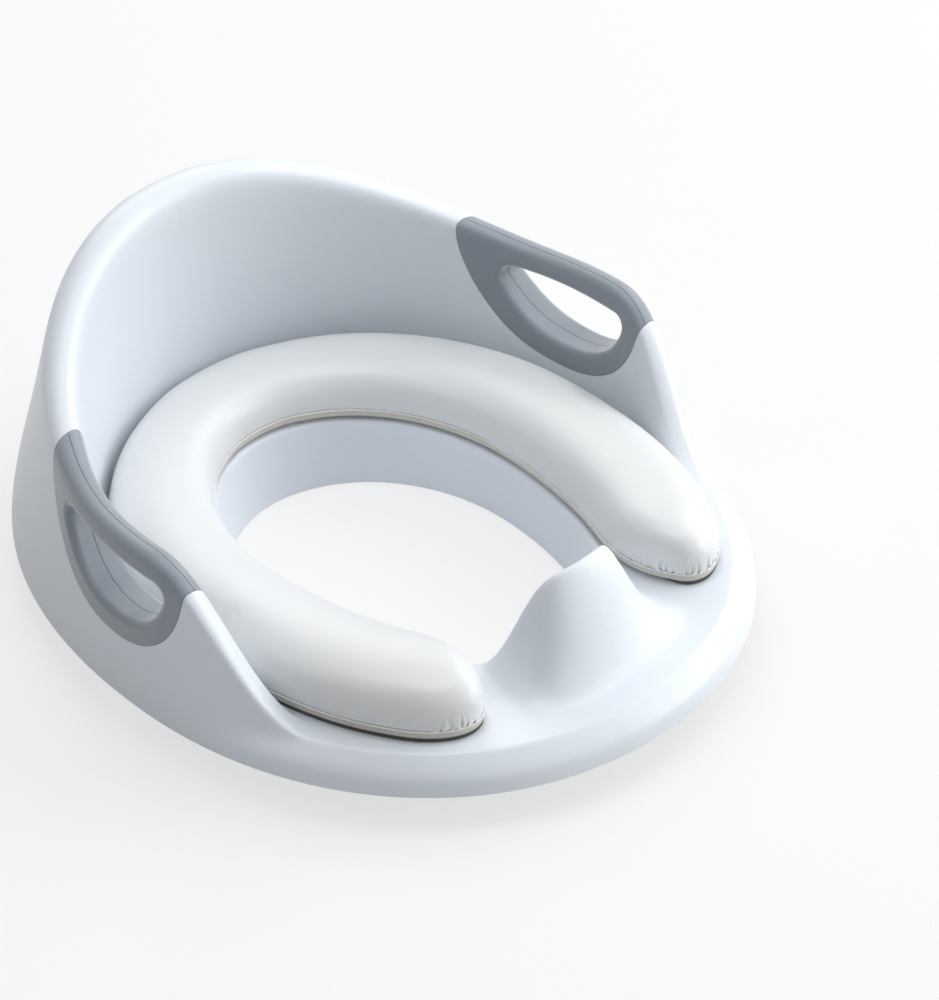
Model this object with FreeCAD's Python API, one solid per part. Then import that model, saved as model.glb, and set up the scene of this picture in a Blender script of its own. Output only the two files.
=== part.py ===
import FreeCAD, Part
import math
import os
from FreeCAD import Vector

os.makedirs("parts", exist_ok=True)

# A child's training seat that sits on a toilet seat, in millimetres. The frame stands on the
# collar's bottom rim: Z points up, the splash guard looks along -Y, the backrest stands at +Y,
# and the seat is the same on both sides of the plane X = 0. Plan shapes are measured from the
# seat's middle, the widest place, by an angle: -90 degrees is the front, 0 the side, 90 the back.

# Outline of the flange that lies on the toilet seat, and where its widest place is along Y
FLANGE_HALF_WIDTH = 161.5
FLANGE_TO_FRONT = 183.0
FLANGE_TO_BACK = 211.0
FLANGE_FULLNESS = 2.1
MIDDLE_Y = (FLANGE_TO_FRONT - FLANGE_TO_BACK) / 2

# Heights, all from the collar's bottom rim
FLANGE_HEIGHT = 19.5
DECK_HEIGHT = 36.0
SIDE_RIM_HEIGHT = 109.0
BACK_RIM_HEIGHT = 160.0
HUMP_HEIGHT = 86.5

# Ledge of the flange, from its edge in to the backrest wall's inner foot
LEDGE_AT_SIDE = 28.5
LEDGE_AT_FRONT = 23.0
LEDGE_AT_BACK = 64.0
FOOT_FRONT_FULLNESS = 2.45

# Deck, from the wall's foot in to the opening, and how much further in the collar's bottom is
DECK_AT_SIDE = 59.3
DECK_AT_FRONT = 36.0
DECK_AT_BACK = 50.5
COLLAR_IN_AT_SIDE = -0.8
COLLAR_IN_AT_FRONT = 5.0
COLLAR_IN_AT_BACK = 6.5

# Backrest wall: how far its inner face leans out, and its outer face in from the flange's edge
LEAN_AT_SIDE = 9.0
LEAN_AT_BACK = 1.0
LEAN_AT_FRONT = 3.0
RIM_IN_AT_SIDE = 4.3
RIM_IN_AT_BACK = 40.0

# Angles, in degrees, at which the rim leaves the deck, reaches the handles and climbs to the back
RIM_STARTS = -31.0
RIM_AT_HANDLE = -5.0
RIM_CLIMBS = 12.0
RIM_AT_BACK = 86.0

# Splash guard: its top and its foot, in degrees off the front
HUMP_TOP = 8.5
HUMP_FOOT = 20.5

# Moulding. The flange's border turns down over a width, first softly and then steeply; where the
# wall stands on it, the wall's foot flares out into it. The skin is laid through a number of rows.
SHELL_WALL = 2.6
EDGE_ROUND = 5.0
FOOT_ROUND = 4.0
BORDER_WIDTH = 9.0
BORDER_MARGIN = 2.0
BORDER_SOFT_DROP = 1.5
BORDER_STEEP_DROP = 5.0
EDGE_OF_DECK = 7.5
EDGE_OF_WALL = 6.0
WALL_FLARE = 3.0
ROWS = 36
FIT_GAP = 0.3

# Grip handles. The side outline is a smooth line through places that are each a distance behind
# the seat's middle and a depth below the side rim, and it runs out over the rim at both ends. The
# finger hole keeps a frame's width off it, and a bar's depth below the side rim.
OVER_RIM = 41.0
HANDLE_OUTLINE = [(79.5, -OVER_RIM), (76.5, 3.0), (70.0, 19.0), (59.5, 34.5), (44.0, 47.5),
                  (19.0, 54.0), (-4.0, 50.5), (-19.0, 39.5), (-26.5, 25.0), (-29.0, 11.0),
                  (-29.5, -OVER_RIM)]
HANDLE_FRAME = 11.0
BAR_AT_FRONT = 13.5
BAR_AT_BACK = 9.0
HOLE_CORNER = 6.0
HOLE_EDGE_ROUND = 3.5
OUTLINE_POINTS = 32
HANDLE_TONGUE = 6.0
TONGUE_ROOT = 2.0
PARTING_SHARE = 0.42

# Ring-shaped cushion, open at the front. Its arms splay a little towards the tips, which close at
# a share of the band's width and of the thickness.
PAD_EDGE_GAP = 1.5
PAD_THICKNESS = 24.0
PAD_SPLAY = 3.0
PAD_SPLAY_STARTS = -20.0
PAD_TIP_ANGLE = -63.5
PAD_TIP_SPREAD = 15.0
PAD_TIP_FULLNESS = 2.2
PAD_TIP_PLACE = 0.55
PAD_TIP_LIFT = 0.45
PAD_ROWS = 18

# Base plate under the cushion, and its pegs that plug into the deck
PLATE_THICKNESS = 2.0
PLATE_INSET = 7.0
PLATE_LIFT = 0.2
PLATE_TIP_SHARE = 0.45
PEG_DIAMETER = 8.0
PEG_REACH = 9.0
PEG_ANGLES = (-38.0, 20.0, 68.0)

# Underside: ring rib, radial ribs and the soft strips that keep the seat from sliding
RIB_WALL = 1.8
RIB_ANGLES = (-75.0, -50.0, -25.0, 0.0, 25.0, 50.0, 75.0)
RIB_OVER_DECK = 10.0
STRIP_WIDTH = 6.0
STRIP_DEPTH = 3.5
STRIP_LIP_GAP = 0.9
STRIP_STANDS_OUT = 1.2
STRIP_SPANS = {"front": (-90.0, -62.0), "side": (-30.0, 30.0), "back": (62.0, 90.0)}


def place(angle, distance, height=0.0):
    """A point by its angle and distance from the seat's middle; the length is centred on Y = 0."""
    turn = math.radians(angle)
    return Vector(distance * math.cos(turn), MIDDLE_Y + distance * math.sin(turn), height)


def mix(start, end, share):
    return start + (end - start) * share


def soft_step(value, start, end):
    """0 before start, 1 after end, and a smooth S between them."""
    share = min(max((value - start) / (end - start), 0.0), 1.0)
    return share * share * (3 - 2 * share)


def egg(angle, half_width, to_front, to_back, fullness=2.0):
    """Distance from the middle to an egg-shaped line, in the direction of an angle."""
    turn = math.radians(angle)
    reach = to_front if angle < 0 else to_back
    across = abs(math.cos(turn)) / half_width
    along = abs(math.sin(turn)) / reach
    return (across ** fullness + along ** fullness) ** (-1 / fullness)


def hump_share(angle):
    """How much of the splash guard's height stands at an angle."""
    return 1 - soft_step(angle + 90, HUMP_TOP, HUMP_FOOT)


def rim_height(angle):
    to_back = soft_step(angle, RIM_CLIMBS, RIM_AT_BACK)
    side_rise = (SIDE_RIM_HEIGHT - DECK_HEIGHT) * wall_share(angle)
    return DECK_HEIGHT + side_rise + (BACK_RIM_HEIGHT - SIDE_RIM_HEIGHT) * to_back


def flange_line(angle):
    return egg(angle, FLANGE_HALF_WIDTH, FLANGE_TO_FRONT, FLANGE_TO_BACK, FLANGE_FULLNESS)


def foot_line(angle):
    """The backrest wall's inner foot, which is also the deck's outer edge."""
    fullness = FOOT_FRONT_FULLNESS if angle < 0 else 2.0
    return egg(angle, FLANGE_HALF_WIDTH - LEDGE_AT_SIDE, FLANGE_TO_FRONT - LEDGE_AT_FRONT,
               FLANGE_TO_BACK - LEDGE_AT_BACK, fullness)


def opening_line(angle, in_at_side=0.0, in_at_front=0.0, in_at_back=0.0):
    """The opening's edge, or a line further in by three distances."""
    return egg(angle, FLANGE_HALF_WIDTH - LEDGE_AT_SIDE - DECK_AT_SIDE - in_at_side,
               FLANGE_TO_FRONT - LEDGE_AT_FRONT - DECK_AT_FRONT - in_at_front,
               FLANGE_TO_BACK - LEDGE_AT_BACK - DECK_AT_BACK - in_at_back)


def collar_line(angle):
    return opening_line(angle, COLLAR_IN_AT_SIDE, COLLAR_IN_AT_FRONT, COLLAR_IN_AT_BACK)


def wall_share(angle):
    """0 where there is only deck, 1 where the side wall has its full height."""
    return soft_step(angle, RIM_STARTS, RIM_AT_HANDLE)


def rim_lines(angle):
    """Distances of the wall's inner and outer face just under the rim."""
    across = math.cos(math.radians(angle)) ** 2
    lean = mix(LEAN_AT_BACK, LEAN_AT_SIDE, across)
    inner = foot_line(angle) + mix(LEAN_AT_FRONT, lean, wall_share(angle))
    rim = egg(angle, FLANGE_HALF_WIDTH - RIM_IN_AT_SIDE, FLANGE_TO_FRONT,
              FLANGE_TO_BACK - RIM_IN_AT_BACK)
    return inner, mix(flange_line(angle) - BORDER_WIDTH - BORDER_MARGIN, rim, wall_share(angle))


def section(angle):
    """Poles of the moulding's visible side, from the collar's bottom to the flange's edge.

    Each is a distance from the middle and a height."""
    opening = opening_line(angle)
    collar = collar_line(angle)
    foot = foot_line(angle)
    inner, outer = rim_lines(angle)
    flange = flange_line(angle)
    hump = (HUMP_HEIGHT - DECK_HEIGHT) * hump_share(angle)
    crest = DECK_HEIGHT + hump
    wall = rim_height(angle) - DECK_HEIGHT
    full = wall_share(angle)
    deck = DECK_HEIGHT
    top = deck + wall
    shoulder = mix(0.25, 0.12, full)
    return [
        (collar, 0.0),
        (mix(collar, opening, 0.4), 0.35 * crest),
        (mix(collar, opening, 0.9), 0.75 * crest),
        (opening, crest - EDGE_ROUND),
        (opening + 0.15 * EDGE_ROUND, crest),
        (opening + EDGE_ROUND, crest + 0.03 * hump),
        (mix(opening, foot, 0.32), deck + 0.78 * hump),
        (mix(opening, foot, 0.55), deck + 0.40 * hump),
        (mix(opening, foot, 0.78), deck + 0.10 * hump),
        (foot - FOOT_ROUND, deck),
        (mix(foot, inner, 0.1), deck + 0.03 * wall),
        (mix(foot, inner, 0.4), deck + 0.30 * wall),
        (mix(foot, inner, 0.8), deck + 0.66 * wall),
        (inner, deck + 0.90 * wall),
        (mix(inner, outer, shoulder), deck + 0.99 * wall),
        (mix(inner, outer, 0.5), deck + 1.01 * wall),
        (mix(inner, outer, 1 - shoulder), deck + 0.99 * wall),
        (outer, deck + 0.90 * wall),
        (mix(flange - BORDER_WIDTH, mix(outer, flange, 0.42), full),
         mix(deck - BORDER_SOFT_DROP, mix(FLANGE_HEIGHT, top, 0.55), full)),
        (mix(flange - 0.4 * BORDER_WIDTH, mix(outer, flange, 0.85), full),
         mix(deck - BORDER_STEEP_DROP, mix(FLANGE_HEIGHT, top, 0.20) + WALL_FLARE, full)),
        (flange, FLANGE_HEIGHT + mix(EDGE_OF_DECK, EDGE_OF_WALL, full)),
        (flange, FLANGE_HEIGHT),
    ]


def skin_poles():
    """Grid of poles of one half of the visible side.

    The rows beside the plane of symmetry have the height and depth of the end rows, so that the
    two halves meet smoothly."""
    angles = [-90 + 180 * i / ROWS for i in range(ROWS + 1)]
    rows = [[place(a, r, z) for r, z in section(a)] for a in angles]
    for end, beside in ((0, 1), (ROWS, ROWS - 1)):
        for k, pole in enumerate(rows[end]):
            pole.x = 0
            rows[beside][k] = Vector(rows[beside][k].x, pole.y, pole.z)
    return rows


def sunk(rows, depth):
    """The same grid, moved by a depth into the material, square to the skin."""
    last_row = len(rows) - 1
    last = len(rows[0]) - 1
    moved = []
    for i, row in enumerate(rows):
        new_row = []
        for k, pole in enumerate(row):
            along = row[min(k + 1, last)] - row[max(k - 1, 0)]
            around = rows[min(i + 1, last_row)][k] - rows[max(i - 1, 0)][k]
            if i in (0, last_row):
                around = Vector(1 if i == 0 else -1, 0, 0)
            inward = around.cross(along)
            inward.normalize()
            if k in (0, last):
                inward.z = 0
                inward.normalize()
            new_row.append(pole + inward * depth)
        moved.append(new_row)
    for end, beside in ((0, 1), (last_row, last_row - 1)):
        for k, pole in enumerate(moved[end]):
            pole.x = 0
            moved[beside][k] = Vector(moved[beside][k].x, pole.y, pole.z)
    return moved


def spline_surface(rows):
    def knots_of(count):
        return list(range(count - 2)), [4] + [1] * (count - 4) + [4]
    around_knots, around_mults = knots_of(len(rows))
    along_knots, along_mults = knots_of(len(rows[0]))
    surface = Part.BSplineSurface()
    surface.buildFromPolesMultsKnots(rows, around_mults, along_mults, around_knots, along_knots,
                                     False, False, 3, 3)
    return surface


def edge_line(poles):
    curve = Part.BSplineCurve()
    count = len(poles)
    curve.buildFromPolesMultsKnots(poles, [4] + [1] * (count - 4) + [4], list(range(count - 2)),
                                   False, 3)
    return curve.toShape()


def column(rows, k):
    return [row[k] for row in rows]


def solid_of(faces):
    shell = Part.makeShell(faces)
    shell.sewShape()
    solid = Part.makeSolid(shell)
    if solid.Volume < 0:
        solid.reverse()
    return solid


def flat_face(edges):
    return Part.Face(Part.Wire(Part.sortEdges(edges)[0]))


def walled_half(outside, inside):
    """Half of the moulding, between its visible skin and its underside."""
    faces = [spline_surface(outside).toShape(), spline_surface(inside).toShape()]
    for k in (0, -1):
        ends = [Part.makeLine(outside[i][k], inside[i][k]) for i in (0, -1)]
        faces.append(flat_face([edge_line(column(outside, k)), edge_line(column(inside, k))] + ends))
    for i in (0, -1):
        ends = [Part.makeLine(outside[i][k], inside[i][k]) for k in (0, -1)]
        faces.append(flat_face([edge_line(outside[i]), edge_line(inside[i])] + ends))
    return solid_of(faces)


def filled_half(rows):
    """Everything under a skin, down to a floor from the collar's bottom to the flange."""
    first = edge_line(column(rows, 0))
    last = edge_line(column(rows, -1))
    faces = [spline_surface(rows).toShape(), Part.makeRuledSurface(first, last)]
    for i in (0, -1):
        faces.append(flat_face([edge_line(rows[i]), Part.makeLine(rows[i][0], rows[i][-1])]))
    return solid_of(faces)


def both_sides(half_solid):
    other = half_solid.mirror(Vector(0, 0, 0), Vector(1, 0, 0))
    return half_solid.fuse(other)


def beside_rim(behind, below):
    """A point in the plane X = 0, by its place behind the middle and below the side rim."""
    return Vector(0, MIDDLE_Y + behind, SIDE_RIM_HEIGHT - below)


def handle_face(grow=0.0):
    """The handle's side outline as a flat face, or one that is larger all round."""
    curve = Part.BSplineCurve()
    curve.interpolate([beside_rim(*spot) for spot in HANDLE_OUTLINE])
    if grow:
        spots = []
        for step in range(OUTLINE_POINTS + 1):
            at = mix(curve.FirstParameter, curve.LastParameter, step / OUTLINE_POINTS)
            outward = Vector(1, 0, 0).cross(curve.tangent(at)[0])
            spots.append(curve.value(at) + outward * grow)
        curve.interpolate(spots)
    return flat_face([curve.toShape(), Part.makeLine(curve.EndPoint, curve.StartPoint)])


def finger_hole_face():
    """The handle's side outline less its frame and its bar, with soft corners."""
    back = HANDLE_OUTLINE[0][0]
    front = HANDLE_OUTLINE[-1][0]
    corners = [beside_rim(back, BAR_AT_BACK), beside_rim(front, BAR_AT_FRONT),
               beside_rim(front, SIDE_RIM_HEIGHT), beside_rim(back, SIDE_RIM_HEIGHT)]
    below_bar = Part.Face(Part.makePolygon(corners + corners[:1]))
    sharp = handle_face(-HANDLE_FRAME).common(below_bar).Faces[0]
    rounded = sharp.makeOffset2D(-HOLE_CORNER).makeOffset2D(HOLE_CORNER)
    curve = Part.BSplineCurve()
    curve.interpolate(rounded.OuterWire.discretize(OUTLINE_POINTS + 1)[:-1], PeriodicFlag=True)
    return flat_face([curve.toShape()])


def through_wall(face):
    """A side outline, run through the whole thickness of the +X wall."""
    near = foot_line(0) / 2
    far = flange_line(0) + FLANGE_HEIGHT
    prism = face.extrude(Vector(far - near, 0, 0))
    prism.translate(Vector(near, 0, 0))
    return prism


def plan_line(distance_at, first, last, count=24):
    """Smooth plan curve through the places that a distance gives between two angles."""
    angles = [first + (last - first) * i / count for i in range(count + 1)]
    points = [place(a, distance_at(a)) for a in angles]
    curve = Part.BSplineCurve()
    curve.interpolate(points)
    return curve.toShape()


def plan_region(near_at, far_at, first, last):
    """Plan face between two distances and two angles."""
    near = plan_line(near_at, first, last)
    far = plan_line(far_at, first, last)
    start = Part.makeLine(place(first, near_at(first)), place(first, far_at(first)))
    finish = Part.makeLine(place(last, near_at(last)), place(last, far_at(last)))
    return flat_face([near, start, far, finish])


def raised(face, bottom, top):
    solid = face.extrude(Vector(0, 0, top - bottom))
    solid.translate(Vector(0, 0, bottom))
    return solid


def ridge_line(angle):
    """Plan line along the top of the rim, where the handles' two halves part."""
    inner, outer = rim_lines(angle)
    return mix(inner, outer, PARTING_SHARE)


def strip_channel(angle):
    """Distances of the strip channel's two walls: inside the lip, and outside the ring rib."""
    lip = flange_line(angle) - SHELL_WALL
    return lip - STRIP_LIP_GAP - STRIP_WIDTH - FIT_GAP, lip


def underside_ribs(under):
    """Ring rib and radial ribs, ended inside the wall that they stiffen."""
    def ring_out(angle):
        return strip_channel(angle)[0]

    def ring_in(angle):
        return ring_out(angle) - RIB_WALL
    top = DECK_HEIGHT + RIB_OVER_DECK
    bottom = FLANGE_HEIGHT + STRIP_DEPTH
    ribs = [raised(plan_region(ring_in, ring_out, -90, 90), FLANGE_HEIGHT, top)]
    for angle in RIB_ANGLES:
        plate = Part.makeBox(FLANGE_TO_BACK, RIB_WALL, top - bottom,
                             Vector(0, -RIB_WALL / 2, bottom))
        plate.rotate(Vector(0, 0, 0), Vector(0, 0, 1), angle)
        plate.translate(place(0, 0))
        ribs.append(plate)
    return [rib.common(under) for rib in ribs]


def peg_places():
    places = []
    for angle in PEG_ANGLES:
        places.append(place(angle, mix(opening_line(angle), foot_line(angle), 0.5)))
    return places


def seat_shell(outside):
    inside = sunk(outside, SHELL_WALL)
    shell = walled_half(outside, inside)
    ribs = underside_ribs(filled_half(sunk(outside, SHELL_WALL / 2)))
    shell = shell.fuse(ribs)
    shell = shell.cut(through_wall(handle_face(FIT_GAP)))
    holes = []
    for spot in peg_places():
        top = Vector(spot.x, spot.y, DECK_HEIGHT + SHELL_WALL)
        holes.append(Part.makeCylinder(PEG_DIAMETER / 2 + FIT_GAP, 4 * SHELL_WALL, top,
                                       Vector(0, 0, -1)))
    return both_sides(shell.cut(holes))


def hole_edges(body, outline):
    """The edges where the finger hole leaves a handle through its two faces."""
    found = []
    for edge in body.Edges:
        first, last = edge.ParameterRange
        spots = [edge.valueAt(mix(first, last, share)) for share in (0.1, 0.5, 0.9)]
        flat = [Part.Vertex(Vector(0, spot.y, spot.z)) for spot in spots]
        on_outline = max(outline.distToShape(spot)[0] for spot in flat) < FIT_GAP / 10
        if on_outline and abs(spots[0].x - spots[2].x) < edge.Length / 2:
            found.append(edge)
    return found


def handle_halves(outside):
    """Inner and outer half of the grip on the +X side, with a tongue that sits in the wall."""
    hole = finger_hole_face()
    body = filled_half(outside).common(through_wall(handle_face())).cut(through_wall(hole))
    body = body.makeFillet(HOLE_EDGE_ROUND, hole_edges(body, hole.OuterWire))
    deep = filled_half(sunk(outside, SHELL_WALL + FIT_GAP))
    tongue = deep.common(through_wall(handle_face(HANDLE_TONGUE)))
    tongue = tongue.cut(through_wall(handle_face(-TONGUE_ROOT)))
    grip = body.fuse(tongue)

    def inside_of_parting(gap):
        def axis(angle):
            return FIT_GAP

        def parting(angle):
            return ridge_line(angle) + gap
        return raised(plan_region(axis, parting, -90, 90), 0, BACK_RIM_HEIGHT)
    inner = grip.common(inside_of_parting(-FIT_GAP / 2))
    outer = grip.cut(inside_of_parting(FIT_GAP / 2))
    return inner, outer


def pad_band(angle):
    """Inner and outer limit of the cushion between the opening and the wall."""
    splay = PAD_SPLAY * soft_step(-angle, -PAD_SPLAY_STARTS, -PAD_TIP_ANGLE)
    return opening_line(angle) + PAD_EDGE_GAP + splay, foot_line(angle) - PAD_EDGE_GAP + splay


def pad_edges(angle):
    """Inner and outer edge of the cushion's plan, drawn together round its tip."""
    near, far = pad_band(angle)
    past = max(PAD_TIP_ANGLE + PAD_TIP_SPREAD - angle, 0.0) / PAD_TIP_SPREAD
    width = max(1 - past ** PAD_TIP_FULLNESS, 0.0) ** (1 / PAD_TIP_FULLNESS)
    tip = mix(near, far, PAD_TIP_PLACE)
    return mix(tip, near, width), mix(tip, far, width)


# Cushion section: share of the half width across, and share of the thickness up
PAD_SECTION = [(-0.6, 0.0), (0.0, 0.0), (0.6, 0.0), (0.96, 0.02), (1.02, 0.4), (0.92, 0.82),
               (0.55, 1.02), (0.0, 1.08), (-0.55, 1.02), (-0.92, 0.82), (-1.02, 0.4),
               (-0.96, 0.02)]


# Rows of the cushion's rounded tip: share of the tip's spread, of the width and of the thickness
PAD_TIP_ROWS = [(0.0, 0.0, 0.0), (0.0, 0.32, 0.45), (0.08, 0.62, 0.76), (0.28, 0.87, 0.94),
                (0.55, 0.98, 1.0), (0.8, 1.0, 1.0), (1.0, 1.0, 1.0)]


def cushion_pad():
    start = PAD_TIP_ANGLE + PAD_TIP_SPREAD
    stations = [(PAD_TIP_ANGLE + PAD_TIP_SPREAD * share, wide, high)
                for share, wide, high in PAD_TIP_ROWS]
    stations += [(mix(start, 90, step / PAD_ROWS), 1.0, 1.0) for step in range(1, PAD_ROWS + 1)]
    bottom = DECK_HEIGHT + PLATE_LIFT + PLATE_THICKNESS
    rows = []
    for angle, wide, high in stations:
        near, far = pad_band(angle)
        tip = mix(near, far, PAD_TIP_PLACE)
        low = bottom + PAD_TIP_LIFT * PAD_THICKNESS * (1 - high)
        row = []
        for across, up in PAD_SECTION:
            distance = mix(tip, mix(near, far, (1 + across) / 2), wide)
            row.append(place(angle, distance, low + PAD_THICKNESS * high * up))
        rows.append(row)
    for k, pole in enumerate(rows[-1]):
        pole.x = 0
        rows[-2][k] = Vector(rows[-2][k].x, pole.y, pole.z)
    spans = len(rows) - 3
    around = len(PAD_SECTION)
    skin = Part.BSplineSurface()
    skin.buildFromPolesMultsKnots(rows, [4] + [1] * (spans - 1) + [4], [1] * (around + 1),
                                  list(range(spans + 1)), list(range(around + 1)),
                                  False, True, 3, 3)
    return both_sides(solid_of([skin.toShape(), flat_face([skin.uIso(spans).toShape()])]))


def cushion_base_plate():
    def near(angle):
        return pad_edges(angle)[0] + PLATE_INSET

    def far(angle):
        return pad_edges(angle)[1] - PLATE_INSET
    bottom = DECK_HEIGHT + PLATE_LIFT
    start = mix(PAD_TIP_ANGLE, PAD_TIP_ANGLE + PAD_TIP_SPREAD, PLATE_TIP_SHARE)
    plate = raised(plan_region(near, far, start, 90), bottom, bottom + PLATE_THICKNESS)
    pegs = []
    for spot in peg_places():
        top = Vector(spot.x, spot.y, bottom + PLATE_THICKNESS / 2)
        peg = Part.makeCylinder(PEG_DIAMETER / 2, PEG_REACH + PLATE_THICKNESS / 2, top,
                                Vector(0, 0, -1))
        pegs.append(peg)
    return both_sides(plate.fuse(pegs))


def grip_strip(first, last):
    def near(angle):
        return strip_channel(angle)[0] + FIT_GAP

    def far(angle):
        return strip_channel(angle)[1] - STRIP_LIP_GAP
    return raised(plan_region(near, far, first, last), FLANGE_HEIGHT - STRIP_STANDS_OUT,
                  FLANGE_HEIGHT + STRIP_DEPTH)


def save(name, shape):
    print(name, shape.isValid(), len(shape.Solids), round(shape.Volume), shape.BoundBox)
    shape.exportStep("parts/" + name + ".step")


def mirrored(shape):
    return shape.mirror(Vector(0, 0, 0), Vector(1, 0, 0))


outside = skin_poles()
save("seat_shell", seat_shell(outside))
inner, outer = handle_halves(outside)
save("handle_right_inner", inner)
save("handle_right_outer", outer)
save("handle_left_inner", mirrored(inner))
save("handle_left_outer", mirrored(outer))
save("cushion_pad", cushion_pad())
save("cushion_base_plate", cushion_base_plate())
for end in ("front", "back"):
    save("grip_strip_" + end, both_sides(grip_strip(*STRIP_SPANS[end])))
side_strip = grip_strip(*STRIP_SPANS["side"])
save("grip_strip_right", side_strip)
save("grip_strip_left", mirrored(side_strip))
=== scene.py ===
# %% [markdown]
# # A potty training seat: the looks
#
# The seat is a white moulded shell with a backrest wall, two grey grips let into that wall, and a
# soft horseshoe cushion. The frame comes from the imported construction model, so its pieces
# already have their true sizes and places, in metres. This script only dresses them: it gives
# every piece its finish, models the cushion again as sewn and stuffed upholstery, and sets up the
# camera, the floor and the light.

import math

import bmesh
import bpy
from mathutils import Matrix, Vector
from mathutils.kdtree import KDTree


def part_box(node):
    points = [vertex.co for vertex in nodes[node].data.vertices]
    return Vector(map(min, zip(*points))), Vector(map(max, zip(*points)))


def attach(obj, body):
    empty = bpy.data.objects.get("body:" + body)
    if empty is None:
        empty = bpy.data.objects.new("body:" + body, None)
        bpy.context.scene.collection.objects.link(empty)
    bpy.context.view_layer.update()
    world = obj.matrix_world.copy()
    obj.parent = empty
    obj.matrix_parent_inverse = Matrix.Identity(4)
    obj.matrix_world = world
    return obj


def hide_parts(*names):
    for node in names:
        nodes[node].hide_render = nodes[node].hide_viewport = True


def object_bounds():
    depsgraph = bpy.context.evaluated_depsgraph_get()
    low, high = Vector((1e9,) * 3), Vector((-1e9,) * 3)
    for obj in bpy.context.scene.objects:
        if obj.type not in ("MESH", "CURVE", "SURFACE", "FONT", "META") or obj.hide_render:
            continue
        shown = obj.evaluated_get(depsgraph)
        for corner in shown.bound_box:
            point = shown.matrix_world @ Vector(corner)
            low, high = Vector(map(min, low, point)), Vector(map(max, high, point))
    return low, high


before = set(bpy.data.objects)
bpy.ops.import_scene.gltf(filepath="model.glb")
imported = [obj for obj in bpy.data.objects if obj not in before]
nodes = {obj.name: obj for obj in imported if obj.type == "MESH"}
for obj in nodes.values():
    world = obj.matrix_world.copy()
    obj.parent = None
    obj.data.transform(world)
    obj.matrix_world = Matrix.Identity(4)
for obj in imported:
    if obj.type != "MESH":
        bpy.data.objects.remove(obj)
cad_low, cad_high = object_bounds()
cad_size = [round(high - low, 3) for low, high in zip(cad_low, cad_high)]
print("frame:", len(nodes), "nodes, size", cad_size)

# %% [markdown]
# The photograph was taken with a long lens from the front left, about 38 degrees above the
# horizon. A camera could be placed by its position and three angles, but then each change moves
# the seat about in the picture. So it is placed by the point it looks at, two angles and a
# distance, and is then rolled a little, as the photograph is. The azimuth counts from the front,
# which is -Y, towards +X.

# %% Camera
IMAGE_LONG_SIDE = 1000
SENSOR = 36.0
FOCAL_PIXELS = 3297.8
CAMERA_TARGET = Vector((0.0200, -0.04695, 0.0575))
CAMERA_AZIMUTH = math.radians(-43.99)
CAMERA_ELEVATION = math.radians(37.74)
CAMERA_ROLL = math.radians(-0.71)
CAMERA_DISTANCE = 1.5767
CAMERA_SHIFT = (0.0006, 0.0026)

back = Vector((math.sin(CAMERA_AZIMUTH) * math.cos(CAMERA_ELEVATION),
               -math.cos(CAMERA_AZIMUTH) * math.cos(CAMERA_ELEVATION),
               math.sin(CAMERA_ELEVATION)))
camera_data = bpy.data.cameras.new("camera")
camera_data.sensor_width = SENSOR
camera_data.lens = FOCAL_PIXELS * SENSOR / IMAGE_LONG_SIDE
camera_data.shift_x, camera_data.shift_y = CAMERA_SHIFT
camera_data.clip_start = 0.1
camera_data.clip_end = 20.0
camera = bpy.data.objects.new("camera", camera_data)
bpy.context.scene.collection.objects.link(camera)
camera.rotation_mode = "QUATERNION"
turned = (-back).to_track_quat("-Z", "Y")
rolled = turned @ Matrix.Rotation(CAMERA_ROLL, 3, "Z").to_quaternion()
camera.rotation_quaternion = rolled
camera.location = CAMERA_TARGET + back * CAMERA_DISTANCE
bpy.context.scene.camera = camera
print("camera at", [round(value, 3) for value in camera.location])

# %% [markdown]
# A finish that changes over a surface is a small sum, such as 0.30 plus 0.08 times a drift. In
# Blender each step of a sum is a Math node of its own, which soon becomes a long list of nodes
# and links. So a small class wraps a node's output socket and gives it the plus and times signs,
# and a finish can be read as the sum that it is.

# %% Shader maths as Python expressions
class Value:
    """What comes out of one socket of a node, such as a number that changes over a surface."""

    def __init__(self, tree, socket):
        self.tree = tree
        self.socket = socket

    def math(self, operation, other):
        return self.tree.node("ShaderNodeMath", {"operation": operation}, {0: self, 1: other})

    def __add__(self, other):
        return self.math("ADD", other)

    __radd__ = __add__

    def __mul__(self, other):
        return self.math("MULTIPLY", other)

    __rmul__ = __mul__


class NodeTree:
    """The nodes of a material or a world, with one method that adds any node."""

    def __init__(self, owner):
        owner.use_nodes = True
        self.nodes = owner.node_tree.nodes
        self.links = owner.node_tree.links

    def node(self, kind, settings, inputs, output=0):
        made = self.nodes.new(kind)
        for setting, choice in settings.items():
            setattr(made, setting, choice)
        for name, source in inputs.items():
            self.feed(made.inputs[name], source)
        return Value(self, made.outputs[output])

    def feed(self, socket, source):
        """Links a value to a socket, or writes a constant on it."""
        if isinstance(source, Value):
            self.links.new(source.socket, socket)
        else:
            socket.default_value = source


print("shader maths ready: plus and times on values")

# %% [markdown]
# Every finish here starts from Blender's Principled shader and is made uneven in the same few
# ways: a noise pattern that keeps its place on the piece, a colour between two others, and a bump
# that only tilts the light. Written out each time they would hide what makes one finish differ
# from the next, so each way is one short method.

# %% Finishes
# A Mix node has a set of sockets for each kind of value. These are the colour ones.
MIX_COLOUR_FIRST = 6
MIX_COLOUR_SECOND = 7
MIX_COLOUR_RESULT = 2


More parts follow.
